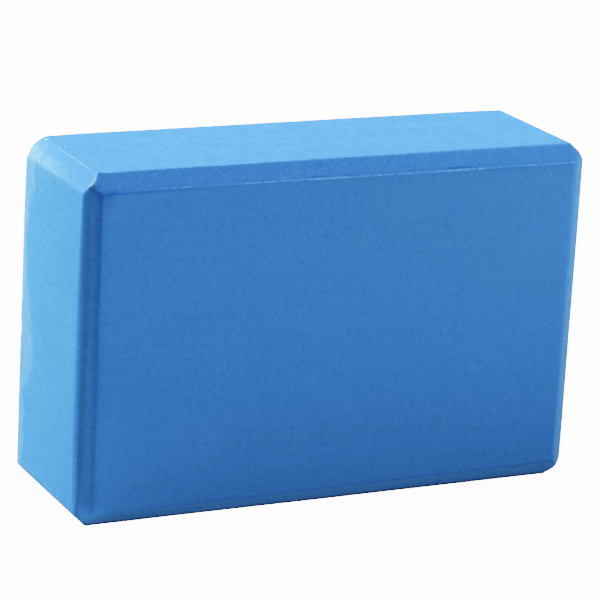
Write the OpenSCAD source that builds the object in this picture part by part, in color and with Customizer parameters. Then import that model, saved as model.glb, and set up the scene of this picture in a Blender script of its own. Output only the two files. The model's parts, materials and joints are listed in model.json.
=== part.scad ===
// Foam block: one solid piece of closed-cell foam, standing on a long edge.
// Origin at the centre of the footprint, +X along the length, +Y through the
// thickness, +Z up. Millimetres.

/* [Size] */
// Length of the block, along X
block_length = 230; // [180:1:300]
// Height of the block as it stands on a long edge, along Z
block_height = 150; // [110:1:200]
// Thickness from large face to large face, along Y
block_thickness = 76; // [50:1:120]

/* [Edges] */
// Width of the 45 degree bevel round both large faces, measured along each face it cuts
face_bevel = 6.5; // [3:0.5:14]
// Width of the 45 degree chamfer on the four short corner edges, measured the same way
corner_chamfer = 6.5; // [3:0.5:14]
// Radius that softens each crease where a bevel meets a flat
crease_radius = 1.5; // [0.5:0.25:3]

/* [Look] */
// Colour of the foam
foam_color = "#4389cf"; // ["#4389cf":sky blue, "#5b4a8c":purple, "#4f9a66":green, "#5a5d61":grey]

/* [Hidden] */
// Segments of each crease arc
$fn = 48;

// The eight corners of a w x h rectangle with its corners cut at 45 degrees by c,
// counter-clockwise from the right end of the lower edge
function cut_corners(w, h, c) = [
    [ w / 2 - c, -h / 2], [ w / 2, -h / 2 + c],
    [ w / 2,  h / 2 - c], [ w / 2 - c,  h / 2],
    [-w / 2 + c,  h / 2], [-w / 2,  h / 2 - c],
    [-w / 2, -h / 2 + c], [-w / 2 + c, -h / 2]
];

function unit(v) = v / norm(v);

// Where an arc of radius r leaves the edge from corner p towards corner q.
// Every corner turns by 45 degrees, so the tangent is r * tan(22.5) long.
function arc_end(p, q, r) = p + unit(q - p) * r * tan(22.5);

// Centre of the arc that blends corner p, between its neighbours a and b
function arc_centre(a, p, b, r) = p + unit(unit(a - p) + unit(b - p)) * r / cos(22.5);

// Section of the block: a rectangle with 45 degree corners and softened creases
module soft_section(w, h, c, r) {
    pts = cut_corners(w, h, c);
    n = len(pts);
    polygon([for (i = [0 : n - 1]) each [
        arc_end(pts[i], pts[(i + n - 1) % n], r),
        arc_end(pts[i], pts[(i + 1) % n], r)
    ]]);
    for (i = [0 : n - 1]) {
        a = pts[(i + n - 1) % n];
        p = pts[i];
        b = pts[(i + 1) % n];
        o = arc_centre(a, p, b, r);
        // the slice of the disc between the two tangent points
        translate(o) intersection() {
            circle(r = r);
            polygon([[0, 0], (arc_end(p, a, r) - o) * 1.3, (p - o) * 1.3, (arc_end(p, b, r) - o) * 1.3]);
        }
    }
}

// The block is what three sections have in common. Seen along X and along Z the
// section carries the bevel round the large faces, and seen along Y it carries
// the chamfer of the corner edges.
module foam_block() {
    color(foam_color)
    translate([0, 0, block_height / 2])
    intersection() {
        // seen from the front, along Y
        rotate([90, 0, 0])
            linear_extrude(height = block_thickness, center = true)
                soft_section(block_length, block_height, corner_chamfer, crease_radius);
        // seen from above, along Z
        linear_extrude(height = block_height, center = true)
            soft_section(block_length, block_thickness, face_bevel, crease_radius);
        // seen from the end, along X
        rotate([90, 0, 90])
            linear_extrude(height = block_length, center = true)
                soft_section(block_thickness, block_height, face_bevel, crease_radius);
    }
}

foam_block();
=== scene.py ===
import json
import math

import bpy
import numpy as np
from mathutils import Matrix, Vector, noise
from mathutils.geometry import delaunay_2d_cdt

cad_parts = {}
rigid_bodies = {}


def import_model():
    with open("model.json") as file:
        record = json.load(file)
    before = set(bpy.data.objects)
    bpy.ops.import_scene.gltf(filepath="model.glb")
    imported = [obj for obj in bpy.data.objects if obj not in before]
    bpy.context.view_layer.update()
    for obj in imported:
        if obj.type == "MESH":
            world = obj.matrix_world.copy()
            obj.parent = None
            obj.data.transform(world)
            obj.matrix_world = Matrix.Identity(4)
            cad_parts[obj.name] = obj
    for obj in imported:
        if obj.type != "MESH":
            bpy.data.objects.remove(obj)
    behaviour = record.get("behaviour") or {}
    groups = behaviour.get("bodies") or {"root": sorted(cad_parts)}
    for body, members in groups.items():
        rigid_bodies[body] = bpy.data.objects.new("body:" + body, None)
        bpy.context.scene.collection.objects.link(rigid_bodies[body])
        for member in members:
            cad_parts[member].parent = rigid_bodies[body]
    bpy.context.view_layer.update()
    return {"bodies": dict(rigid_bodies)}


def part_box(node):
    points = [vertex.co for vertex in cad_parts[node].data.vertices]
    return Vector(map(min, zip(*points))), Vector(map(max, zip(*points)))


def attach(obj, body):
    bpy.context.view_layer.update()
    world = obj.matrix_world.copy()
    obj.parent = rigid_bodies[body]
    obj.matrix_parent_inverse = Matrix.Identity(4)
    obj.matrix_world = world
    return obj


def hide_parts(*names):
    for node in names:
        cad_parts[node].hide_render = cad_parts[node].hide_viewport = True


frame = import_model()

NODE = "foam_block"
LO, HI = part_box(NODE)

# ---------------------------------------------------------------------------
# The block's own numbers, in millimetres. The size comes from the frame.
# ---------------------------------------------------------------------------
MM = 0.001
HX = (HI.x - LO.x) / 2 / MM      # half length
HY = (HI.y - LO.y) / 2 / MM      # half thickness
HZ = (HI.z - LO.z) / 2 / MM      # half height
HALF = np.array([HX, HY, HZ])
BEVEL = 6.5                      # leg of a 45 degree bevel or corner chamfer
X0, Y0, Z0 = HX - BEVEL, HY - BEVEL, HZ - BEVEL

# Four edges aren't cut at quite 45 degrees: (axis, side, axis, side): (leg on each axis)
LEGS = {
    (1, -1, 2, 1): (5.2, 7.2),   # front top
    (0, 1, 1, -1): (6.5, 4.7),   # front right
    (0, -1, 1, -1): (6.9, 3.9),  # front left
    (0, -1, 2, 1): (6.5, 8.0),   # the corner chamfer at the top left
}

# The large faces are embossed with small pits on a slightly turned grid:
# u runs down the rows and v along them, one pit where both are whole numbers.
GRID_DOWN = (0.16482, -0.01579)      # u per mm down, per mm to the right
GRID_ACROSS = (0.01558, 0.20017)     # v per mm down, per mm to the right
GRID_PHASE = (0.495, 0.510)
PIT_RADIUS = 0.72
PIT_DEPTH = 0.05

# Where the lower crease of the front top bevel runs: (x, mm below the 45 degree place)
FRONT_CREASE = ((-115, 1.9), (-109, 1.55), (-104, 0.9), (-99, 0.47), (-92, 0.2), (-60, 0.2),
                (-30, 0.32), (0, 0.45), (24, 0.6), (115, 0.62))

# How much of the lip along that crease is left: (x, share of its full size)
LIP = ((-94, 0.0), (-87, 0.25), (-80, 0.6), (-73, 0.85), (-68, 0.2), (-62, 0.2), (-50, 0.4), (-43, 0.85), (-35, 0.85), (-29, 0.8), (-26, 0.55), (-19, 0.55),
       (-15, 1.1), (-7, 1.1), (-3, 0.6), (0, 0.75), (4, 0.5), (13, 0.35), (17, 0.65), (24, 0.6), (40, 0.45), (44, 0.7), (48, 0.95), (54, 1.3), (61, 1.4), (65, 0.5),
       (72, 0.45), (80, 0.3), (90, 0.65), (96, 0.3), (105, 0.8), (110, 0.4))

# The burr round the front end of the corner chamfer at the top left, as points from the block's foot
ARC = ((-108.9, -32.4, 149.4), (-109.5, -33.0, 148.8), (-110.1, -33.7, 148.0), (-110.7, -34.2, 147.3), (-111.3, -34.6, 146.5), (-111.9, -34.4, 145.8), (-112.4, -33.6, 145.3))

# Where the upper crease of the front bottom bevel runs: (x, mm above the 45 degree place)
LOW_CREASE = ((-115, 0.1), (-60, 0.3), (0, 0.7), (60, 1.15), (115, 1.5))

# Handling marks on the front face near the top right: short slanted grooves, (x, z) ends from the block's centre
SCRATCHES = (((77.3, 65.2), (81.2, 58.6)), ((80.4, 66.2), (84.2, 60.6)),
             ((92.9, 65.4), (97.2, 55.8)), ((95.2, 66.0), (98.4, 59.8)))


# ---------------------------------------------------------------------------
# 1. Mesh of the block: a box grid folded onto the bevelled block, with the
#    creases rounded one by one, and the pits pressed into the large faces
# ---------------------------------------------------------------------------
def edge_lines(half, step):
    """Grid lines along one axis, close together at the creases and wider inside."""
    near = [0.0, 1.3, 2.5, 3.6, 4.4, 5.0, 5.5, 5.85, 6.15, 6.5, 6.75, 7.0, 7.3, 7.75, 8.4, 9.4, 10.9, 12.8]
    span = 2 * (half - near[-1])
    n = max(2, int(round(span / step)))
    inner = [near[-1] + span * i / n for i in range(1, n)]
    from_low = near + inner + [2 * half - d for d in reversed(near)]
    return np.array(from_low) - half


LINES = [edge_lines(HX, 1.55), edge_lines(HY, 2.6), edge_lines(HZ, 2.2)]


def fold(points, axis):
    """Points on a face of the plain box, moved onto the bevelled block."""
    out = points.copy()
    gap = HALF - np.abs(points)
    inset = np.zeros(len(points))
    for k in range(3):
        if k == axis:
            continue
        near = gap[:, k] < BEVEL
        place = np.where(near, BEVEL / 2 + gap[:, k] / 2, gap[:, k])
        out[:, k] = np.sign(points[:, k]) * (HALF[k] - place)
        inset = np.maximum(inset, np.where(near, (BEVEL - gap[:, k]) / 2, 0.0))
    out[:, axis] = np.sign(points[:, axis]) * (HALF[axis] - inset)
    return out


VERTS, FACES, INDEX = [], [], {}


def vertex(p):
    key = (round(p[0], 4), round(p[1], 4), round(p[2], 4))
    if key not in INDEX:
        INDEX[key] = len(VERTS)
        VERTS.append(p)
    return INDEX[key]


def add_grid(axis, side, skip_inside):
    """One face of the box as a grid. With skip_inside, the part within the creases is left for the pits."""
    a, b = [k for k in range(3) if k != axis]
    la, lb = LINES[a], LINES[b]
    pts = np.zeros((len(la), len(lb), 3))
    pts[..., a] = la[:, None]
    pts[..., b] = lb[None, :]
    pts[..., axis] = side * HALF[axis]
    flat = fold(pts.reshape(-1, 3), axis)
    ids = [vertex(tuple(p)) for p in flat]
    ids = np.array(ids).reshape(len(la), len(lb))
    lim_a, lim_b = HALF[a] - BEVEL, HALF[b] - BEVEL
    # the order of the corners that makes the face look outwards
    flip = (side > 0) == (axis == 1)
    for i in range(len(la) - 1):
        for j in range(len(lb) - 1):
            if skip_inside:
                ca, cb = (la[i] + la[i + 1]) / 2, (lb[j] + lb[j + 1]) / 2
                if abs(ca) < lim_a and abs(cb) < lim_b:
                    continue
            quad = [ids[i, j], ids[i + 1, j], ids[i + 1, j + 1], ids[i, j + 1]]
            FACES.append(quad[::-1] if flip else quad)


def pit_centres():
    """Centres of the pits on a large face, as (mm right of the left crease, mm below the top crease)."""
    grid = np.linalg.inv(np.array([GRID_DOWN, GRID_ACROSS]))
    wide, tall = 2 * X0, 2 * Z0
    out = []
    for i in range(-20, 80):
        for j in range(-20, 80):
            down, right = grid @ np.array([i + GRID_PHASE[0], j + GRID_PHASE[1]])
            if 2.4 < down < tall - 1.3 and 1.3 < right < wide - 1.3:
                out.append((right, down))
    return out


PIT_RINGS = ((0.32, 7), (0.64, 9), (0.97, 9))


def pit_shape(r):
    """Depth of a pit at a distance r from its centre."""
    t = np.clip(r / PIT_RADIUS, 0, 1.35)
    return -PIT_DEPTH * np.exp(-2.2 * t ** 2.4) + PIT_DEPTH * math.exp(-2.2 * 1.35 ** 2.4)


PIT_AT = {}


def add_pitted(side):
    """The flat part of a large face: a triangle mesh that carries the pits and the handling marks."""
    ax = LINES[0][(np.abs(LINES[0]) <= X0 + 1e-6)]
    az = LINES[2][(np.abs(LINES[2]) <= Z0 + 1e-6)]
    x0, x1, z0, z1 = ax[0], ax[-1], az[0], az[-1]
    rim = [(x, z0) for x in ax] + [(x1, z) for z in az[1:]] + [(x, z1) for x in ax[::-1][1:]] + [(x0, z) for z in az[::-1][1:-1]]
    n_rim = len(rim)
    pts = list(rim)
    centres = []
    for right, down in pit_centres():
        # the pattern is seen from outside on both faces
        x = (x0 + right) if side < 0 else (x1 - right)
        centres.append((x, z1 - down))
    c = np.array(centres)
    depth = [0.0] * n_rim

    def room(x, z, r):
        return np.min((c[:, 0] - x) ** 2 + (c[:, 1] - z) ** 2) > r * r

    # rows beside the creases, where the face starts to turn, closest together under the top crease
    for off in (0.2, 0.4, 0.55, 0.7, 0.85, 1.0, 1.2, 1.45, 1.8, 2.4, 3.3, 4.6, 6.3):
        for x in ax[(ax > x0 + off * 0.9) & (ax < x1 - off * 0.9)]:
            if room(x, z1 - off, 1.15):
                pts.append((x, z1 - off)); depth.append(0.0)
    for off in (0.25, 0.5, 0.8, 1.25, 1.9, 2.9, 4.4, 6.3):
        for x in ax[(ax > x0 + off * 0.9) & (ax < x1 - off * 0.9)]:
            if room(x, z0 + off, 1.15):
                pts.append((x, z0 + off)); depth.append(0.0)
        for z in az[(az > z0 + off * 1.1) & (az < z1 - off * 1.1)]:
            for x in (x0 + off, x1 - off):
                if room(x, z, 1.15):
                    pts.append((x, z)); depth.append(0.0)
    if side < 0:
        for (xa, za), (xb, zb) in SCRATCHES:
            n = 12
            long = math.hypot(xb - xa, zb - za)
            nx, nz = -(zb - za) / long, (xb - xa) / long
            for i in range(n + 1):
                t = i / n
                ease = math.sin(math.pi * min(max(t, 0.0), 1.0)) ** 0.6 if 0 < t < 1 else 0.0
                for off, d in ((0.0, -0.11), (0.30, 0.02), (-0.30, 0.05), (0.62, 0.0), (-0.62, 0.0)):
                    pts.append((xa + (xb - xa) * t + nx * off, za + (zb - za) * t + nz * off))
                    depth.append(d * ease)
    for x, z in centres:
        pts.append((x, z)); depth.append(float(pit_shape(0.0)))
        for r, k in PIT_RINGS:
            for a in range(k):
                t = 2 * math.pi * (a + 0.37 * k) / k
                px, pz = x + r * math.cos(t), z + r * math.sin(t)
                if x0 + 0.15 < px < x1 - 0.15 and z0 + 0.15 < pz < z1 - 0.15:
                    pts.append((px, pz)); depth.append(float(pit_shape(r)))
    # more points in the middle of each cell, so that no long thin triangles are left
    grid = np.linalg.inv(np.array([GRID_DOWN, GRID_ACROSS]))
    step_u, step_v = grid[:, 0], grid[:, 1]
    for x, z in centres:
        for fu, fv in ((0.5, 0.5), (0.5, 0.0), (0.0, 0.5)):
            down = fu * step_u[0] + fv * step_v[0]
            right = fu * step_u[1] + fv * step_v[1]
            px, pz = (x + right if side < 0 else x - right), z - down
            if x0 + 6.8 < px < x1 - 6.8 and z0 + 6.8 < pz < z1 - 6.8 and room(px, pz, 1.5):
                pts.append((px, pz)); depth.append(0.0)
    edges = [(i, (i + 1) % n_rim) for i in range(n_rim)]
    vs, _, fs, orig, _, _ = delaunay_2d_cdt([Vector(p) for p in pts], edges, [], 1, 1e-5)
    y = side * HY
    ids = []
    for v, o in zip(vs, orig):
        k = vertex((v.x, y, v.y))
        ids.append(k)
        d = depth[o[0]] if o else 0.0
        if d:
            PIT_AT[k] = d
    for f in fs:
        a, b, d = (vs[i] for i in f[:3])
        ccw = (b - a).cross(d - a) > 0          # seen with x to the right and z up, which is from -y
        ring = [ids[i] for i in f]
        want = ccw if side < 0 else not ccw
        FACES.append(ring if want else ring[::-1])


for side in (-1, 1):
    add_grid(0, side, False)
    add_grid(2, side, False)
    add_grid(1, side, True)
    add_pitted(side)

P = np.array(VERTS)


# The 18 planes of the bevelled block, through which a rounded crease is found.
def leg(a, sa, b, sb):
    """How far the edge between two faces is cut back on each of them: (along a, along b)."""
    if a < b:
        return LEGS.get((a, sa, b, sb), (BEVEL, BEVEL))
    return LEGS.get((b, sb, a, sa), (BEVEL, BEVEL))[::-1]


PLANES = []
for k in range(3):
    for s in (-1, 1):
        n = np.zeros(3); n[k] = s
        PLANES.append((n, HALF[k]))
for a, b in ((0, 1), (0, 2), (1, 2)):
    for sa in (-1, 1):
        for sb in (-1, 1):
            la, lb = leg(a, sa, b, sb)
            n = np.zeros(3); n[a], n[b] = sa * lb, sb * la
            size = math.hypot(la, lb)
            PLANES.append((n / size, ((HALF[a] - la) * lb + HALF[b] * la) / size))

# Radius of each crease, the block's centre as origin: runs of (point, point, radius, radius).
CREASES = []


def crease(face, side, other, other_side, profile):
    """The crease on a face beside its edge with another: its radius at places along it."""
    along = 3 - face - other
    cut = leg(face, side, other, other_side)[1]
    for (p, rp), (q, rq) in zip(profile, profile[1:]):
        ends = []
        for at in (p, q):
            e = np.zeros(3)
            e[face], e[other], e[along] = side * HALF[face], other_side * (HALF[other] - cut), at
            ends.append(e)
        CREASES.append((ends[0], ends[1], rp, rq))


X, Y, Z = 0, 1, 2
# upright edges
crease(X, -1, Y, -1, ((-Z0, 7.5), (-40, 8.0), (10, 8.0), (40, 6.0), (Z0, 4.6)))
crease(Y, -1, X, -1, ((-Z0, 3.2), (0, 2.6), (Z0, 2.0)))
crease(X, 1, Y, -1, ((-Z0, 3.0), (Z0, 4.0)))
crease(Y, -1, X, 1, ((-Z0, 4.0), (Z0, 8.0)))
crease(X, -1, Y, 1, ((-Z0, 1.2), (0, 1.6), (44, 2.2), (58, 4.4), (Z0, 7.0)))
crease(Y, 1, X, -1, ((-Z0, 3.0), (52, 3.5), (Z0, 6.5)))
crease(X, 1, Y, 1, ((-Z0, 3.0), (Z0, 5.0)))
crease(Y, 1, X, 1, ((-Z0, 3.0), (Z0, 4.0)))
# edges along the length
crease(Z, 1, Y, -1, ((-X0, 0.8), (-X0 + 14, 1.2), (-30, 2.2), (X0, 4.0)))
crease(Y, -1, Z, 1, ((-X0, 0.9), (X0, 0.8)))
crease(Y, -1, Z, -1, ((-X0, 1.8), (X0, 1.8)))
crease(Z, -1, Y, -1, ((-X0, 0.7), (X0, 0.7)))
crease(Z, 1, Y, 1, ((-X0, 7.0), (-90, 3.0), (92, 2.5), (X0, 6.0)))
crease(Y, 1, Z, 1, ((-X0, 6.5), (-90, 2.0), (X0, 2.5)))
crease(Y, 1, Z, -1, ((-X0, 2.0), (X0, 2.0)))
crease(Z, -1, Y, 1, ((-X0, 2.0), (X0, 2.0)))
# corner chamfers across the ends
crease(Z, 1, X, -1, ((-Y0, 0.8), (12, 1.5), (Y0, 7.0)))
crease(X, -1, Z, 1, ((-Y0, 2.5), (0, 3.0), (16, 3.8), (24, 5.2), (Y0, 7.0)))
crease(Z, 1, X, 1, ((-Y0, 1.6), (Y0, 2.4)))
crease(X, 1, Z, 1, ((-Y0, 3.6), (Y0, 3.6)))
crease(Z, -1, X, -1, ((-Y0, 1.6), (Y0, 2.0)))
crease(X, -1, Z, -1, ((-Y0, 2.2), (Y0, 2.5)))
crease(Z, -1, X, 1, ((-Y0, 1.6), (Y0, 2.0)))
crease(X, 1, Z, -1, ((-Y0, 4.0), (Y0, 3.0)))

# the short creases between the bevels at each corner, from their common point to each face
CORNER = {(-1, -1, 1): (0.5, 0.9, 1.4, 0.5), (1, -1, 1): (4.0, 5.0, 6.0, 2.2), (-1, 1, 1): (7.0, 7.0, 6.5, 7.0),
          (1, 1, 1): (6.0, 6.0, 5.0, 6.0), (-1, -1, -1): (1.6, 2.0, 1.8, 1.4), (1, -1, -1): (3.0, 5.0, 2.5, 1.6)}
for s in [(a, b, c) for a in (-1, 1) for b in (-1, 1) for c in (-1, 1)]:
    radii = CORNER.get(s, (3.0, 3.0, 2.5, 2.5))
    rows, rhs = [], []
    for a, b in ((0, 1), (0, 2), (1, 2)):
        la, lb = leg(a, s[a], b, s[b])
        n = np.zeros(3); n[a], n[b] = s[a] * lb, s[b] * la
        rows.append(n); rhs.append((HALF[a] - la) * lb + HALF[b] * la)
    tip = np.linalg.solve(np.array(rows), np.array(rhs))
    for k in range(3):
        p, q = [j for j in range(3) if j != k]
        end = np.zeros(3)
        end[k] = s[k] * HALF[k]
        end[p] = s[p] * (HALF[p] - leg(k, s[k], p, s[p])[1])
        end[q] = s[q] * (HALF[q] - leg(k, s[k], q, s[q])[1])
        CREASES.append((tip, end, radii[0], radii[1 + k]))


def radius_field(pts):
    top = np.zeros(len(pts)); bot = np.zeros(len(pts))
    for a, b, ra, rb in CREASES:
        d = b - a
        t = np.clip((pts - a) @ d / (d @ d), 0, 1)
        far = np.linalg.norm(pts - a - t[:, None] * d, axis=1)
        w = 1.0 / (far + 0.35) ** 3
        top += w * (ra + (rb - ra) * t); bot += w
    return top / bot


def rounded(pts, radius):
    """Each point moved to the block whose creases are rounded with that radius."""
    x = pts.copy()
    lam = np.zeros((len(pts), len(PLANES)))
    for _ in range(60):
        for k, (n, d) in enumerate(PLANES):
            over = x @ n - (d - radius)
            new = np.maximum(0.0, lam[:, k] + over)
            x -= (new - lam[:, k])[:, None] * n
            lam[:, k] = new
    v = pts - x
    length = np.linalg.norm(v, axis=1)
    return x + v / np.maximum(length, 1e-9)[:, None] * radius[:, None]


gap = np.sort(HALF - np.abs(P), axis=1)
near = gap[:, 1] < 20.0           # the middles of the faces don't move
P[near] = rounded(P[near], radius_field(P[near]))


def bump1(t):
    """1 at 0, falling smoothly to 0 at 1."""
    t = np.clip(np.abs(t), 0, 1)
    return 1 - t * t * (3 - 2 * t)


def wave(pts, scale, seed):
    """Smooth noise of about -1 to 1 at each point, at that wavelength in mm."""
    out = np.empty(len(pts))
    off = Vector((seed * 17.31, seed * 5.77, seed * 11.13))
    for i, p in enumerate(pts):
        out[i] = noise.noise(Vector(p) / scale + off)
    return out


def bell(d, width):
    return np.exp(-0.5 * (d / width) ** 2)


# --- how this block differs from the ideal one ---
normal = np.zeros_like(P)
for k in range(3):
    g = HALF[k] - np.abs(P[:, k])
    normal[:, k] = np.sign(P[:, k]) * np.clip(1 - g / 2.0, 0, 1)
flat_n = normal / np.maximum(np.linalg.norm(normal, axis=1), 1e-9)[:, None]

# the faces are cut foam: they wander a little from flat
P += flat_n * (0.12 * wave(P, 48.0, 1) + 0.035 * wave(P, 15.0, 2))[:, None]

# the lower crease of the front top bevel isn't quite straight, and sinks at its left end
cx, cd = zip(*FRONT_CREASE)
sink = np.interp(P[:, 0], cx, cd) - 0.7
front = np.clip((-HY + 4.5 - P[:, 1]) / 4.5, 0, 1)
below = (HZ - BEVEL - 0.7) - P[:, 2]
reach = np.where(below < 0, np.clip(1 + below / (BEVEL * 0.75), 0, 1), np.clip(1 - below / 14.0, 0, 1))
P[:, 2] -= sink * front * reach

# the outer crease of the front left bevel leans forward towards the foot, and so does the inner one inwards
foot = np.clip((35.0 - P[:, 2]) / 90.0, 0, 1)
back = P[:, 1] - (-HY + 3.9)
reach = np.clip((-HX + 5.0 - P[:, 0]) / 5.0, 0, 1) * np.where(back > 0, np.clip(1 - back / 12.0, 0, 1), np.clip(1 + back / 3.4, 0, 1))
P[:, 1] -= 1.8 * foot * reach
inner = P[:, 0] + X0
reach = front * np.where(inner > 0, np.clip(1 - inner / 14.0, 0, 1), np.clip(1 + inner / (BEVEL * 0.8), 0, 1))
P[:, 0] += 0.95 * foot * reach

# the upper crease of the front bottom bevel climbs a little towards the right
lx, lr = zip(*LOW_CREASE)
above = P[:, 2] + HZ - BEVEL
reach = np.where(above > 0, np.clip(1 - above / 16.0, 0, 1), np.clip(1 + above / (BEVEL * 0.85), 0, 1))
P[:, 2] += np.interp(P[:, 0], lx, lr) * front * reach

# along the upper front crease the cut has left a thin uneven lip, with a shallow line pressed in below it
crease_z = HZ - BEVEL - np.interp(P[:, 0], cx, cd)
on_front = (P[:, 1] < -HY + 3.0) & (np.abs(P[:, 2] - crease_z) < 2.5)
idx = np.where(on_front)[0]
line = np.stack([P[idx, 0], np.zeros(len(idx)), np.zeros(len(idx))], 1)
ragged = 0.80 + 0.7 * wave(line, 6.5, 5) + 0.6 * wave(line, 3.1, 6)
ends = np.clip((P[idx, 0] + 99) / 7.0, 0, 1) * np.clip((111 - P[idx, 0]) / 4.0, 0, 1)
lip = 1.45 * np.clip(ragged, 0.35, 1.2) * ends * np.clip(np.interp(P[idx, 0], *zip(*LIP)), 0.0, 1.15)
rise = P[idx, 2] - crease_z[idx]
cove = np.interp(rise, (0.03, 0.25, 0.6, 1.2, 2.3), (0.0, 1.0, 0.72, 0.30, 0.0))
ledge = np.interp(rise, (-2.0, -1.2, -0.5, -0.12, 0.03, 0.25), (0.0, 0.18, 0.62, 1.0, 1.0, 0.0))
P[idx, 1] += lip * (0.60 * cove - 0.40 * ledge)
groove = (0.05 + 0.02 * wave(line, 9.0, 7)) * bell(rise + 0.70, 0.32)
P[idx, 1] += groove

# a shallow line pressed in along the inner crease of the front left bevel
idx = np.where((P[:, 1] < -HY + 4.0) & (np.abs(P[:, 0] + X0 + 0.6) < 4.0) & (np.abs(P[:, 2]) < Z0 + 2))[0]
P[idx, 1] += 0.10 * bell(P[idx, 0] + X0 + 0.6, 1.0) * (0.8 + 0.4 * wave(P[idx], 20.0, 8))

# the corner chamfer keeps a fine burr along its upper crease and round its front end
def to_segment(pts, a, b):
    a, b = np.array(a, float), np.array(b, float)
    d = b - a
    t = np.clip((pts - a) @ d / (d @ d), 0, 1)
    return np.linalg.norm(pts - a - t[:, None] * d, axis=1), t


out_dir = np.array([-0.38, 0.0, 0.92])
near = np.where((P[:, 0] < -X0 + 6) & (P[:, 2] > Z0 - 3) & (P[:, 1] < 24))[0]
d1, _ = to_segment(P[near], (-X0, -Y0, HZ), (-X0, 20, HZ))
r1 = 0.15 * bell(d1, 0.40) * np.clip(0.8 + 0.9 * wave(P[near], 3.5, 9), 0, 1.4)
d2 = np.min([to_segment(P[near] + (0, 0, HZ), a, b)[0] for a, b in zip(ARC, ARC[1:])], axis=0)
r1 = np.maximum(r1, 0.29 * bell(d2, 0.38) * np.clip(0.9 + 0.5 * wave(P[near], 2.2, 10), 0, 1.4))
P[near] += r1[:, None] * out_dir

# the end's rear edge is scuffed: shallow irregular dents, deepest a little below the middle
near = np.where((P[:, 0] < -HX + 2.5) & (P[:, 1] > 14))[0]
h = P[near, 2]
width = np.interp(h, (-75, -66, -58, -40, -32, -24, -14, -4, 6, 18, 43, 60, 75), (2, 3, 5.5, 5, 7, 12, 12, 10, 8, 5, 4.5, 6, 4))
inside = np.clip((width + 0.8 - (32.0 - P[near, 1])) / 1.6, 0, 1)
deep = np.interp(h, (-75, -40, -24, -10, 20, 75), (0.05, 0.10, 0.22, 0.20, 0.08, 0.05))
P[near, 0] += inside * deep * (0.5 + 0.9 * wave(P[near], 5.0, 11) + 0.5 * wave(P[near], 2.2, 12))

# the lower edge of that end is a little ragged too
near = np.where((P[:, 0] < -X0 + 1.0) & (P[:, 2] < -Z0 + 3.0))[0]
P[near, 0] += 0.20 * (0.4 + wave(P[near], 4.0, 13)) * bell(P[near, 2] + Z0 - 0.2, 1.3)
P[near, 2] += 0.30 * np.clip(wave(P[near], 3.4, 14), 0, 1) * bell(P[near, 2] + HZ, 1.6)

# pits and marks, pressed straight in from the large faces
for k, d in PIT_AT.items():
    P[k, 1] -= math.copysign(-d, P[k, 1])

P[:, 2] = np.maximum(P[:, 2] + HZ, 0.0)        # it rests on a flat floor
mesh = bpy.data.meshes.new("foam_body")
mesh.from_pydata([tuple(p * MM) for p in P], [], FACES)
mesh.validate()
mesh.update()
for poly in mesh.polygons:
    poly.use_smooth = True
block = bpy.data.objects.new("foam_body", mesh)
bpy.context.scene.collection.objects.link(block)
# sits exactly where the CAD node sits
block.data.transform(Matrix.Translation(Vector(((LO.x + HI.x) / 2, (LO.y + HI.y) / 2, LO.z))))
print("foam_body:", len(mesh.vertices), "vertices,", sum(len(f) - 2 for f in FACES), "triangles")


# ---------------------------------------------------------------------------
# 2. Material: closed-cell foam, from the place on the block in millimetres
# ---------------------------------------------------------------------------
mat = bpy.data.materials.new("blue_foam")
mat.use_nodes = True
nt = mat.node_tree
nt.nodes.clear()


class Val:
    """A socket that can be added, multiplied and so on."""

    def __init__(self, socket):
        self.socket = socket

    def __add__(self, other): return calc("ADD", self, other)
    def __radd__(self, other): return calc("ADD", other, self)
    def __sub__(self, other): return calc("SUBTRACT", self, other)
    def __rsub__(self, other): return calc("SUBTRACT", other, self)
    def __mul__(self, other): return calc("MULTIPLY", self, other)
    def __rmul__(self, other): return calc("MULTIPLY", other, self)
    def __truediv__(self, other): return calc("DIVIDE", self, other)


def feed(socket, value):
    if isinstance(value, Val):
        nt.links.new(value.socket, socket)
    else:
        socket.default_value = value


def calc(operation, *args):
    node = nt.nodes.new("ShaderNodeMath")
    node.operation = operation
    for i, a in enumerate(args):
        feed(node.inputs[i], a)
    return Val(node.outputs[0])


def vec(operation, *args, out=0):
    node = nt.nodes.new("ShaderNodeVectorMath")
    node.operation = operation
    for i, a in enumerate(args):
        if operation == "SCALE" and i == 1:
            feed(node.inputs["Scale"], a)
        else:
            feed(node.inputs[i], a)
    return Val(node.outputs[out])


def xyz(x, y, z):
    node = nt.nodes.new("ShaderNodeCombineXYZ")
    for i, a in enumerate((x, y, z)):
        feed(node.inputs[i], a)
    return Val(node.outputs[0])


def split(v):
    node = nt.nodes.new("ShaderNodeSeparateXYZ")
    feed(node.inputs[0], v)
    return [Val(o) for o in node.outputs]


def ease(v, low, high):
    """0 below low, 1 above high, smooth between."""
    node = nt.nodes.new("ShaderNodeMapRange")
    node.interpolation_type = "SMOOTHSTEP"
    feed(node.inputs["Value"], v)
    lo, hi, a, b = (low, high, 0.0, 1.0) if low < high else (high, low, 1.0, 0.0)
    node.inputs["From Min"].default_value, node.inputs["From Max"].default_value = lo, hi
    node.inputs["To Min"].default_value, node.inputs["To Max"].default_value = a, b
    return Val(node.outputs["Result"])


def grain(place, size, seed, detail=2.0, rough=0.5):
    """Noise of about -1 to 1 with spots of that size in mm."""
    node = nt.nodes.new("ShaderNodeTexNoise")
    node.noise_dimensions = "3D"
    feed(node.inputs["Vector"], vec("ADD", place, (13.7 * seed, 7.1 * seed, 29.3 * seed)))
    node.inputs["Scale"].default_value = 1.0 / size
    node.inputs["Detail"].default_value = detail
    node.inputs["Roughness"].default_value = rough
    return (Val(node.outputs[0]) - 0.5) * 3.2


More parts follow.
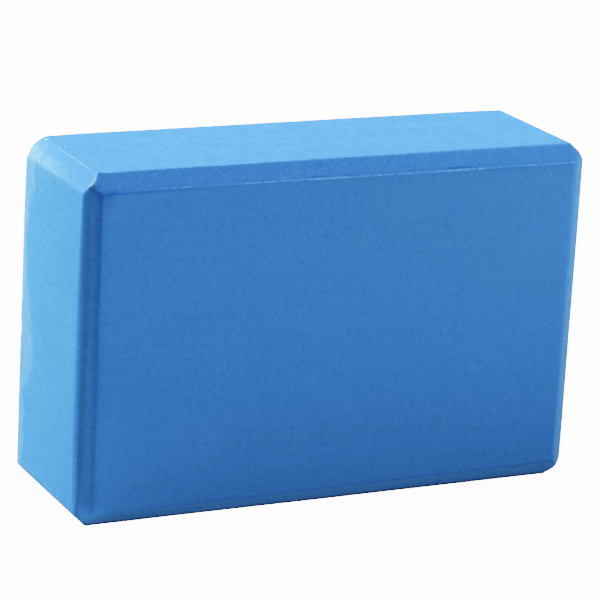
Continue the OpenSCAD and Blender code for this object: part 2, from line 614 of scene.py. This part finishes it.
def curve(v, points, span):
    """A line drawn through points (v, height), heights up to span."""
    node = nt.nodes.new("ShaderNodeValToRGB")
    lo, hi = points[0][0], points[-1][0]
    feed(node.inputs["Fac"], (v - lo) / (hi - lo))
    ramp = node.color_ramp
    ramp.interpolation = "LINEAR"
    while len(ramp.elements) < len(points):
        ramp.elements.new(0.5)
    for e, (at, height) in zip(ramp.elements, points):
        e.position = (at - lo) / (hi - lo)
        k = height / span
        e.color = (k, k, k, 1)
    return Val(node.outputs["Color"]) * span


def from_line(a, b):
    """Distance in mm from the stretch a-b, and how far along it the nearest point lies, 0 to 1."""
    d = Vector(b) - Vector(a)
    rel = vec("SUBTRACT", place, tuple(a))
    t = vec("DOT_PRODUCT", rel, tuple(d / d.length_squared), out=1)
    t = calc("MINIMUM", calc("MAXIMUM", t, 0.0), 1.0)
    near = vec("SCALE", tuple(d), t)
    return vec("DISTANCE", rel, near, out=1), t


def bell_of(d, width):
    q = d / width
    return calc("EXPONENT", q * q * -0.5)


coord = nt.nodes.new("ShaderNodeTexCoord")
place = vec("SCALE", Val(coord.outputs["Object"]), 1000.0)       # mm
x, y, z = split(place)
nx, ny, nz = split(Val(coord.outputs["Normal"]))
on_large = ease(calc("ABSOLUTE", ny), 0.84, 0.97)     # the two embossed faces
on_flat = ease(calc("ABSOLUTE", nz), 0.84, 0.97)      # top and bottom
on_end = ease(calc("ABSOLUTE", nx), 0.84, 0.97)       # the two ends
TOP = 2 * HZ

# --- colour of the foam: skin on the large faces, cut cells elsewhere; the tint of each face, set by which way it looks, is partly painted light and shade ---
BASE = (0.0355, 0.151, 0.645)
fronts, lefts, rights, uppers = ease(ny, -0.25, -0.45), ease(nx, -0.25, -0.45), ease(nx, 0.25, 0.45), ease(nz, 0.25, 0.45)
face_tints_and_light = ((uppers, (0.0345, 0.150, 0.700)), (uppers * lefts, (0.0355, 0.155, 0.920)), (uppers * fronts, (0.0352, 0.149, 0.665)), (lefts * fronts, (0.0308, 0.135, 0.488)),
         (rights * fronts * ease(z, TOP - 2.0, TOP - 8.0), (0.0480, 0.158, 0.495)), (ease(nz, -0.25, -0.5), (0.0495, 0.190, 0.620)),
         (on_large, (0.0382, 0.162, 0.645)), (on_flat, (0.0345, 0.152, 0.790)), (on_end, (0.0347, 0.163, 0.690)))
colour = BASE
for weight, tint in face_tints_and_light:
    node = nt.nodes.new("ShaderNodeMix")
    node.data_type = "RGBA"
    feed(node.inputs[0], weight)
    feed(node.inputs[6], colour if isinstance(colour, Val) else (*colour, 1))
    node.inputs[7].default_value = (*tint, 1)
    colour = Val(node.outputs[2])

# --- grain ---
broad = grain(place, 26.0, 1, 1.0)
patch = grain(place, 8.0, 2, 1.0)
fine = grain(place, 1.7, 3, 1.0, 0.6)
along = grain(xyz(x / 2.6, y / 2.6, z * 1.15), 1.0, 4, 1.0)      # short threads across
upright = grain(xyz(x * 1.15, y * 1.15, z / 2.6), 1.0, 5, 1.0)   # and up
streak = grain(xyz(x / 26.0, y / 1.5, z / 1.5), 1.0, 6, 2.0)     # marks of the cut, along the block
speck = grain(place, 1.1, 7, 0.0)

mid = grain(place, 3.2, 8, 1.0)
dust = grain(place, 0.95, 31, 0.0)
drawn = xyz(x, y / 2.4, z)                                         # the ends are cut along y
end_mid, end_fine, end_dust = grain(drawn, 3.2, 32, 1.0), grain(drawn, 1.7, 33, 1.0, 0.6), grain(drawn, 0.95, 34, 0.0)
skin_tone = broad * 0.018 + patch * 0.014 + mid * 0.004 + (along + upright) * 0.064 + fine * 0.056 + dust * 0.050
cut_tone = broad * 0.014 + patch * 0.022 + mid * 0.040 + streak * 0.018 + fine * 0.150 + dust * 0.060
flat_tone = broad * 0.030 + patch * 0.070 + mid * 0.055 + streak * 0.070 + fine * 0.170 + dust * 0.110
end_tone = broad * 0.014 + patch * 0.012 + end_mid * 0.026 + end_fine * 0.105 + end_dust * 0.064


def blend(on_bevel, on_skin, on_top, on_side):
    """One of four values, for the bevels, the large faces, top and bottom, and the ends."""
    rest = 1.0 - on_large - on_flat - on_end
    return rest * on_bevel + on_large * on_skin + on_flat * on_top + on_end * on_side


# --- the embossed pits, with painted shade in them, and the faint lines between them ---
side = calc("SIGN", y)
climb = ((x + 115.0) * 0.0061 + 0.1) * calc("MINIMUM", calc("MAXIMUM", 1.0 - (z - BEVEL) / 16.0, 0.0), 1.0) * calc("LESS_THAN", y, 0.0)
down = (TOP - BEVEL) - z + climb
across = X0 - side * x
u = down * GRID_DOWN[0] + across * GRID_DOWN[1] + (0.5 - GRID_PHASE[0])
v = down * GRID_ACROSS[0] + across * GRID_ACROSS[1] + (0.5 - GRID_PHASE[1])
du = (calc("FRACT", u) - 0.5) / math.hypot(*GRID_DOWN)
dv = (calc("FRACT", v) - 0.5) / math.hypot(*GRID_ACROSS)
pit_strength = calc("MAXIMUM", 1.0 + mid * 0.8 + patch * 0.35 - x * 0.0030, 0.15)      # the painted shade in the pits is a little darker towards one end
pit_shade = bell_of(calc("SQRT", du * du + dv * dv), 0.58) * -0.024
lines = (bell_of(du, 0.75) + bell_of(dv, 0.75) * 0.8) * -0.009
pattern = (pit_shade + lines) * pit_strength * on_large * ease(down, 0.6, 2.6)

# painted shade along the inner crease of the front left bevel, and painted shade along the lowest edge
off = x + (X0 - 0.25) - calc("MAXIMUM", 120.0 - z, 0.0) * 0.0090
crease_shade = ease(off, -3.4, -0.9) * ease(off, 0.9, -0.6) * (0.095 + z * 0.0013) + ease(off, 4.2, 0.6) * ease(off, -1.2, 0.2) * 0.075
crease_shade = crease_shade * ease(y, -HY + 3.5, -HY + 2.0) * ease(z, 3.0, 10.0) * ease(z, TOP - 3.0, TOP - 8.0)
foot = curve(z, ((0.0, 0.80), (0.9, 0.76), (1.4, 0.50), (1.9, 0.20), (2.6, 0.07), (5.2, 0.0), (9.0, 0.0)), 0.8) * (1.0 - on_flat)
# painted light: paler low at the left end of the front face and of the bevels facing forward
foot = foot - bell_of(z - 4.4, 1.9) * ease(x, -97.0, -110.0) * ease(ny, -0.3, -0.6) * 0.55 - bell_of(z - 7.3, 2.4) * ease(x, -101.0, -109.0) * on_large * 0.34
crease_low = z - BEVEL - 0.2 - climb
# painted shade low on the large faces, strongest a little left of the middle, and along the foot towards the right
low_shade = curve(x, ((-HX, 0.0), (-100.0, 0.20), (-92.0, 0.45), (-80.0, 0.85), (-65.0, 1.0), (-30.0, 1.0), (0.0, 0.75), (45.0, 0.4), (HX, 0.3)), 1.0)
foot = foot + ease(z, 24.0, 9.0) * on_large * low_shade * 0.082 + bell_of(z - 1.9, 1.2) * ease(x, -30.0, 60.0) * (1.0 - on_flat) * 0.07
bounce_light = curve(x, ((-HX, 1.0), (-103.0, 0.95), (-92.0, 0.55), (-80.0, 0.38), (-62.0, 0.15), (-40.0, 0.0), (HX, 0.0)), 1.0)       # painted light: paler low at the left of the front face
foot = foot - ease(z, 70.0, 24.0) * bounce_light * ease(y, -HY + 2.0, -HY + 0.6) * 0.19
shoulder = bell_of(x + 114.3, 0.7) * ease(y, -32.6, -34.2) * curve(z, ((6.0, 0.50), (22.0, 0.42), (34.0, 0.20), (70.0, 0.15), (HZ * 2, 0.17)), 1.0)
foot = foot - shoulder - bell_of(x + 112.8, 1.0) * ease(y, -34.0, -35.0) * ease(z, 28.0, 14.0) * 0.10
# painted shade at the top left corner of the large faces
foot = foot + ease(z, 133.0, 141.0) * ease(x, -101.0, -106.0) * on_large * 0.16
# painted shade along the upper crease of the front bottom bevel
foot = foot + bell_of(crease_low - 0.5, 0.45) * ease(y, -HY + 1.5, -HY + 0.4) * calc("MAXIMUM", 0.6 + mid * 0.9, 0.1) * 0.12
hollow_d, _ = from_line((-112.0, -36.2, 143.8), (-110.2, -37.2, 142.6))          # a shadowed nick below the corner
foot = foot + bell_of(hollow_d, 0.9) * 0.16
# painted shade: top and bottom darker towards the rear
drift = on_flat * y * -0.0020

# painted shade along the line pressed in under the lip, darkest at its left end
crease_at = curve(x, tuple((px, pd) for px, pd in FRONT_CREASE), 4.0)
lip_d = z - (TOP - BEVEL - 0.08) + crease_at
near_front = ease(y, -HY + 2.5, -HY + 1.5)
under = bell_of(lip_d + 0.85 - ease(x, -98.0, -105.0) * 0.75, 0.42) * near_front * curve(x, ((-HX, 0.0), (-111.0, 0.1), (-107.5, 0.35), (-103.0, 0.85), (-100.0, 0.95), (-88.0, 0.95), (-80.0, 0.6), (-70.0, 0.45), (-58.0, 0.28), (0.0, 0.18), (100.0, 0.15), (HX, 0.0)), 1.0) * 0.42
# painted shade at the lip's left end, by the corner
lip_end_shade = bell_of(lip_d - 0.4, 1.0) * near_front * ease(x, -97.0, -104.0) * ease(x, -109.5, -106.5)

fibre = blend(cut_tone, skin_tone, flat_tone, end_tone) + pattern
# the grain shows a little more in red and less in green and blue than an even darkening would
# painted shade: the front left bevel darker and greyer towards the foot
low_bevel_shade = ease(z, 80.0, 25.0) * lefts * fronts
tone = vec("ADD", xyz(*[1.0 - crease_shade * k - low_bevel_shade * m - under * u - lip_end_shade * n - foot + drift for k, m, u, n in ((1.3, 0.03, 1.0, 0.28), (1.0, 0.02, 0.6, 0.18), (0.4, 0.065, 0.2, 0.12))]), vec("SCALE", xyz(blend(1.35, 1.40, 1.50, 0.95), blend(0.93, 0.90, 1.30, 1.04), blend(1.0, 0.94, 1.80, 1.30)), fibre))

# --- pale wear and painted highlights: w is how much of a pale tint shows ---
wobble = grain(place, 3.4, 11, 2.0)
crumb = grain(place, 1.5, 12, 1.0)
left_end = ease(nx, -0.55, -0.85)

# the left end's rear edge: a pale strip of uneven width, scuffed and partly a painted highlight where the edge turns
# towards the light
wide = curve(z, ((0.0, 1.8), (8.0, 3.6), (13.0, 5.7), (20.0, 7.1), (27.0, 7.2), (33.0, 6.4), (38.0, 5.0), (42.0, 5.0), (46.0, 8.0), (50.0, 12.2), (54.0, 14.4), (61.0, 14.8),
                 (68.0, 13.8), (75.0, 10.8), (83.0, 10.2), (90.0, 7.8), (97.0, 5.4), (108.0, 5.1), (116.0, 6.1), (122.0, 6.5), (126.0, 8.2), (130.0, 11.0), (143.5, 12.0)), 20.0)
soft = curve(z, ((0.0, 1.0), (42.0, 0.9), (48.0, 0.5), (78.0, 0.5), (86.0, 1.0), (143.5, 1.0)), 1.0)     # how sharply it ends
tear = grain(xyz(x * 0.0, y / 14.0, z / 6.5), 1.0, 22, 2.0)
inwards = HY - 5.8 - y                                   # mm in from the rear edge
strip = ease((wide + tear * 2.0 + wobble * 1.6 + crumb * 0.7 - inwards) * soft, -1.8, 1.8) * ease(y, 8.0, 12.0) * left_end
rip = grain(xyz(x * 0.0, y / 9.0, z / 5.0), 1.0, 21, 3.0)
scuff_and_sheen = calc("MAXIMUM", 1.0 + crumb * 0.45 + wobble * 0.40 + rip * 0.35, 0.15)
strip_w = strip * scuff_and_sheen * (curve(z, ((0.0, 0.16), (20.0, 0.18), (40.0, 0.195), (48.0, 0.165), (57.0, 0.15), (66.0, 0.175), (76.0, 0.20), (118.0, 0.205), (125.0, 0.215), (130.0, 0.19), (143.0, 0.15)), 0.5)
                           + ease(inwards, 5.0, 1.0) * curve(z, ((0.0, 0.01), (60.0, 0.02), (80.0, 0.09), (95.0, 0.12), (116.0, 0.16), (125.0, 0.13), (140.0, 0.04)), 0.5))
# painted light on the same end just under the chamfer, towards the rear
halo = ease(z + wobble * 1.0, 130.0, 142.0) * left_end
halo_w = halo * (0.006 + ease(y, -12.0, 20.0) * 0.026) * (1.0 + crumb * 0.4)
# a faint band beside its front edge
band = bell_of(y + 24.0, 1.6) * ease(z, 30.0, 55.0) * ease(z, 105.0, 85.0) * left_end
band_w = band * 0.03
# its lower edge
low_d, _ = from_line((-HX, -20, 8.5), (-HX, HY - BEVEL - 3, 9.0))
low_w = bell_of(low_d + wobble * 0.5, 0.8) * calc("MAXIMUM", 0.4 + crumb, 0.0) * 0.14 * left_end

# the corner chamfer: a painted sheen, paler towards its lower, rear side, and mottled
brink = curve(y, ((-HY, 7.0), (-30.0, 7.1), (-20.0, 7.4), (-4.0, 7.9), (HY, 8.1)), 10.0) + wobble * 0.18
chamfer = ease(z + brink, TOP - 0.6, TOP + 0.6) * ease(x, -X0 + 0.2, -X0 - 0.5) * ease(ny, -0.62, -0.3)
fall = (TOP - z) / 7.5                                 # 0 at its upper crease, 1 at its lower
pale = ease(fall + wobble * 0.12, 0.41, 0.68) * curve(y, ((-31.5, 0.02), (-18.0, 0.08), (-4.0, 0.52), (8.0, 1.08), (24.0, 1.3)), 1.3)
chamfer_w = chamfer * (pale * 0.305 * (1.0 + wobble * 0.35) + (crumb + wobble * 0.5) * 0.125 * (0.35 + pale))
# painted highlight along the chamfer's lower crease
edge_d, _ = from_line((-HX + 0.3, -Y0, TOP - 6.6), (-HX + 0.3, Y0, TOP - 7.4))
edge_w = bell_of(edge_d, 0.9) * ease(y, 26.0, 10.0) * 0.105 * ease(ny, -0.6, -0.3)
# painted highlight on the burr along the chamfer's upper crease
burr_d, burr_t = from_line((-X0 - 0.45, -Y0 - 0.6, TOP - 0.45), (-X0 - 0.1, 20.0, TOP - 0.15))
burr_w = bell_of(burr_d, 0.20) * calc("MAXIMUM", 0.70 + wobble * 0.7 + crumb * 0.5, 0.0) * curve(y, ((-HY, 0.0), (-34.0, 0.45), (-26.0, 0.8), (-19.0, 0.95), (-4.0, 1.0), (6.0, 0.85), (14.0, 0.45), (22.0, 0.1)), 1.0) * 0.44
# painted highlight on the burr round the chamfer's front end, and a small one near the rear end of its upper crease
arc_d = 99.0
for a, b in zip(ARC, ARC[1:]):
    arc_d = calc("MINIMUM", arc_d, from_line(a, b)[0])
arc_w = bell_of(arc_d, 0.46) * (0.9 + crumb * 0.25) * curve(z, ((143.0, 0.9), (145.5, 1.1), (147.5, 1.0), (148.6, 0.65), (150.0, 0.35)), 1.2)
tick_d, _ = from_line((-107.8, 24.8, TOP - 0.7), (-108.15, 26.8, TOP - 0.9))
arc_w = arc_w + bell_of(tick_d, 0.45) * 0.9

# painted highlight on the lip along the front top crease
dash = calc("MAXIMUM", 0.70 + grain(xyz(x / 3.4, 0.0, 0.0), 1.0, 15, 2.0) * 0.8 + grain(xyz(x / 1.5, 0.0, 0.0), 1.0, 16, 0.0) * 0.6, 0.03)
lip_w = bell_of(lip_d, 0.21) * dash * curve(x, LIP, 1.4) * ease(x, 111.0, 107.0) * ease(y, -HY + 2.0, -HY + 0.5)

# small pale marks on the top, and the handling marks on the front
spot_d, _ = from_line((-21.0, -14.5, TOP), (-19.0, -12.0, TOP))
spot_w = bell_of(spot_d + wobble * 0.8, 2.4) * 0.055
rub = bell_of(y - 11.0, 2.2) * ease(x, 44.0, 56.0) * ease(x, 100.0, 84.0) + bell_of(y + 8.5, 1.8) * ease(x, 46.0, 52.0) * ease(x, 74.0, 64.0) * 0.8
rub_w = rub * on_flat * ease(nz, 0.5, 0.8) * 0.024 * (1.0 + streak * 0.6)
marks_and_glint_w = 0.0
for (xa, za), (xb, zb) in SCRATCHES:
    d, t = from_line((xa, -HY, za + HZ), (xb, -HY, zb + HZ))
    marks_and_glint_w = marks_and_glint_w + bell_of(d, 0.34) * ease(t, 0.0, 0.2) * ease(t, 1.0, 0.75)
marks_and_glint_w = marks_and_glint_w * 0.09
# painted highlight at the front's lower left corner
corner_glint_d, _ = from_line((-109.5, -HY + 0.3, 7.0), (-104.5, -HY, 7.4))
marks_and_glint_w = marks_and_glint_w + bell_of(corner_glint_d, 0.8) * calc("MAXIMUM", 0.6 + crumb, 0.0) * 0.10

shaded = vec("MULTIPLY", colour, tone)
wear_and_highlights = ((strip_w + halo_w + band_w + low_w, (0.184, 0.460, 1.090)),        # scuffed and pale, partly painted highlight and painted light
        (chamfer_w + edge_w + spot_w + rub_w, (0.130, 0.410, 1.0)),        # painted sheen on the chamfer, painted highlight on its lower crease, pale marks on the top
        (lip_w * 0.70 + marks_and_glint_w, (0.110, 0.350, 1.1)),                             # painted highlight on the lip and at the front's lower left corner, and the pale handling marks
        # painted highlight on the burr along the chamfer's upper crease
        (burr_w, (0.170, 0.470, 1.15)),
        # painted highlight on the burr round the chamfer's front end
        (arc_w, (0.170, 0.525, 1.25)))
w = 0.0
for weight, tint in wear_and_highlights:
    weight = calc("MINIMUM", calc("MAXIMUM", weight, 0.0), 1.0)
    w = w + weight
    mix = nt.nodes.new("ShaderNodeMix")
    mix.data_type = "RGBA"
    feed(mix.inputs[0], weight)
    feed(mix.inputs[6], shaded)
    mix.inputs[7].default_value = (*tint, 1)
    shaded = Val(mix.outputs[2])
shaded = vec("MINIMUM", shaded, (1.0, 1.0, 1.0))

# --- roughness and fine relief ---
rough = 0.80 + fine * 0.03 + patch * 0.02 + w * 0.05
relief = (fine * 0.010 + speck * 0.006) * (1.0 - on_large * 0.35) + (along + upright) * 0.006 * on_large + streak * 0.006 * (1.0 - on_large)
relief = relief + crumb * 0.03 * (strip + chamfer * 0.5)
bump = nt.nodes.new("ShaderNodeBump")
bump.inputs["Strength"].default_value = 1.0
bump.inputs["Distance"].default_value = 0.001
feed(bump.inputs["Height"], relief)

out = nt.nodes.new("ShaderNodeOutputMaterial")
bsdf = nt.nodes.new("ShaderNodeBsdfPrincipled")
nt.links.new(bsdf.outputs["BSDF"], out.inputs["Surface"])
feed(bsdf.inputs["Base Color"], shaded)
feed(bsdf.inputs["Roughness"], rough)
nt.links.new(bump.outputs["Normal"], bsdf.inputs["Normal"])
bsdf.inputs["Specular IOR Level"].default_value = 0.0
mesh.materials.append(mat)

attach(block, sorted(frame["bodies"])[0])
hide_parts(NODE)

# ---------------------------------------------------------------------------
# 3. Floor and backdrop
# ---------------------------------------------------------------------------
def stage_material(name, glow, contact):
    """White that glows evenly, with a soft contact shade painted in by ambient occlusion where the block stands on it.
    """
    m = bpy.data.materials.new(name)
    m.use_nodes = True
    t = m.node_tree
    t.nodes.clear()
    o = t.nodes.new("ShaderNodeOutputMaterial")
    e = t.nodes.new("ShaderNodeEmission")
    e.inputs["Color"].default_value = (1, 1, 1, 1)
    ao = t.nodes.new("ShaderNodeAmbientOcclusion")
    ao.samples = 16
    ao.inputs["Distance"].default_value = 0.03
    r = t.nodes.new("ShaderNodeMapRange")
    r.inputs["From Min"].default_value = 0.45
    r.inputs["From Max"].default_value = 1.0
    r.inputs["To Min"].default_value = contact
    r.inputs["To Max"].default_value = glow
    t.links.new(ao.outputs["AO"], r.inputs["Value"])
    t.links.new(r.outputs["Result"], e.inputs["Strength"])
    t.links.new(e.outputs[0], o.inputs["Surface"])
    return m


def sweep(name, radius, wall):
    """A round floor whose rim curves up into a wall, so that no horizon shows."""
    bend = 1.2
    profile = [(0.0, 0.0), (radius * 0.3, 0.0), (radius, 0.0)]
    for i in range(1, 13):
        a = math.pi / 2 * i / 12
        profile.append((radius + bend * math.sin(a), bend * (1 - math.cos(a))))
    profile.append((radius + bend, wall))
    n = 96
    verts = [(0, 0, 0)]
    for r, z in profile[1:]:
        verts += [(r * math.cos(2 * math.pi * i / n), r * math.sin(2 * math.pi * i / n), z) for i in range(n)]
    faces = [(0, 1 + i, 1 + (i + 1) % n) for i in range(n)]
    for k in range(len(profile) - 2):
        p, q = 1 + k * n, 1 + (k + 1) * n
        faces += [(p + i, q + i, q + (i + 1) % n, p + (i + 1) % n) for i in range(n)]
    me = bpy.data.meshes.new(name)
    me.from_pydata(verts, [], faces)
    for poly in me.polygons:
        poly.use_smooth = True
    ob = bpy.data.objects.new(name, me)
    bpy.context.scene.collection.objects.link(ob)
    return ob


floor = sweep("studio_floor", 3.2, 5.0)
floor.data.materials.append(stage_material("studio_white", 12.0, 9.5))
floor.visible_diffuse = False
floor.visible_glossy = False
floor.visible_shadow = False

# ---------------------------------------------------------------------------
# 4. Light: large soft boxes, the strongest from behind on the left
# ---------------------------------------------------------------------------
CENTRE = Vector((0, 0, HZ * MM))
RADIANCE = math.pi   # watts per square metre of lamp for a radiance of 1


def toward(azimuth, elevation):
    a, e = math.radians(azimuth), math.radians(elevation)
    return Vector((math.sin(a) * math.cos(e), -math.cos(a) * math.cos(e), math.sin(e)))


def lamp(name, place, aim, size_x, size_y, radiance):
    data = bpy.data.lights.new(name, "AREA")
    data.shape = "RECTANGLE"
    data.size, data.size_y = size_x, size_y
    data.energy = radiance * RADIANCE * size_x * size_y
    ob = bpy.data.objects.new(name, data)
    bpy.context.scene.collection.objects.link(ob)
    ob.location = place
    ob.rotation_mode = "QUATERNION"
    ob.rotation_quaternion = (Vector(aim) - Vector(place)).to_track_quat("-Z", "Y")
    ob.visible_camera = False
    ob.visible_glossy = False
    return ob


def softbox(name, azimuth, elevation, distance, size, radiance):
    return lamp(name, CENTRE + toward(azimuth, elevation) * distance, CENTRE, size, size, radiance)


def card(name, x, y, size_x, size_y, radiance):
    """A lit card lying on the floor, facing up."""
    return lamp(name, (x, y, 0.002), (x, y, 1.0), size_x, size_y, radiance)


softbox("key", 211.8, 31.8, 0.660, 0.248, 106.7)
softbox("left", 234.6, 5.5, 0.362, 0.190, 16.1)
softbox("rear", 164.8, 41.8, 0.394, 0.133, 28.9)
softbox("over", 75.1, 78.4, 1.927, 0.735, 17.7)
softbox("fill_left", 320.4, 5.5, 0.3425, 0.146, 2.456)
softbox("fill_right", 23.3, 9.0, 1.967, 0.746, 3.266)
softbox("side_right", 96.6, 19.1, 0.377, 0.228, 16.85)
card("card_right", 0.364, -0.4095, 0.355, 0.340, 8.50)
card("card_front", 0.195, -0.226, 0.755, 0.059, 3.946)

world = bpy.data.worlds.new("studio")
world.use_nodes = True
bg = world.node_tree.nodes["Background"]
bg.inputs["Color"].default_value = (1, 1, 1, 1)
bg.inputs["Strength"].default_value = 0.337
bpy.context.scene.world = world

# ---------------------------------------------------------------------------
# 5. Camera, at the photograph's viewing angle, and the picture's tone
# ---------------------------------------------------------------------------
FOCAL = 3130.26                 # in pixels of a 600 pixel wide picture
AZIMUTH, ELEVATION, ROLL = -0.4587, 0.2888, 0.0554
SHIFT_X, SHIFT_Y, DISTANCE = -0.0577, -4.0309, 1337.2172   # mm

back = Vector((math.sin(AZIMUTH) * math.cos(ELEVATION), -math.cos(AZIMUTH) * math.cos(ELEVATION), math.sin(ELEVATION)))
right = (-back).cross(Vector((0, 0, 1))).normalized()
up = right.cross(-back)
r2 = math.cos(ROLL) * right + math.sin(ROLL) * up
u2 = -math.sin(ROLL) * right + math.cos(ROLL) * up
cam_data = bpy.data.cameras.new("camera")
cam_data.sensor_width = 36.0
cam_data.lens = FOCAL / 600.0 * 36.0
cam_data.clip_start, cam_data.clip_end = 0.05, 60.0
cam = bpy.data.objects.new("camera", cam_data)
bpy.context.scene.collection.objects.link(cam)
place = Vector((0, 0, 75.0)) + back * DISTANCE - r2 * SHIFT_X - u2 * SHIFT_Y
cam.matrix_world = Matrix((
    (r2.x, u2.x, back.x, place.x * MM),
    (r2.y, u2.y, back.y, place.y * MM),
    (r2.z, u2.z, back.z, place.z * MM),
    (0, 0, 0, 1)))
bpy.context.scene.camera = cam

view = bpy.context.scene.view_settings
view.view_transform = "Filmic"
view.look = "None"
view.exposure = 0.0
view.gamma = 1.0

bpy.context.view_layer.update()
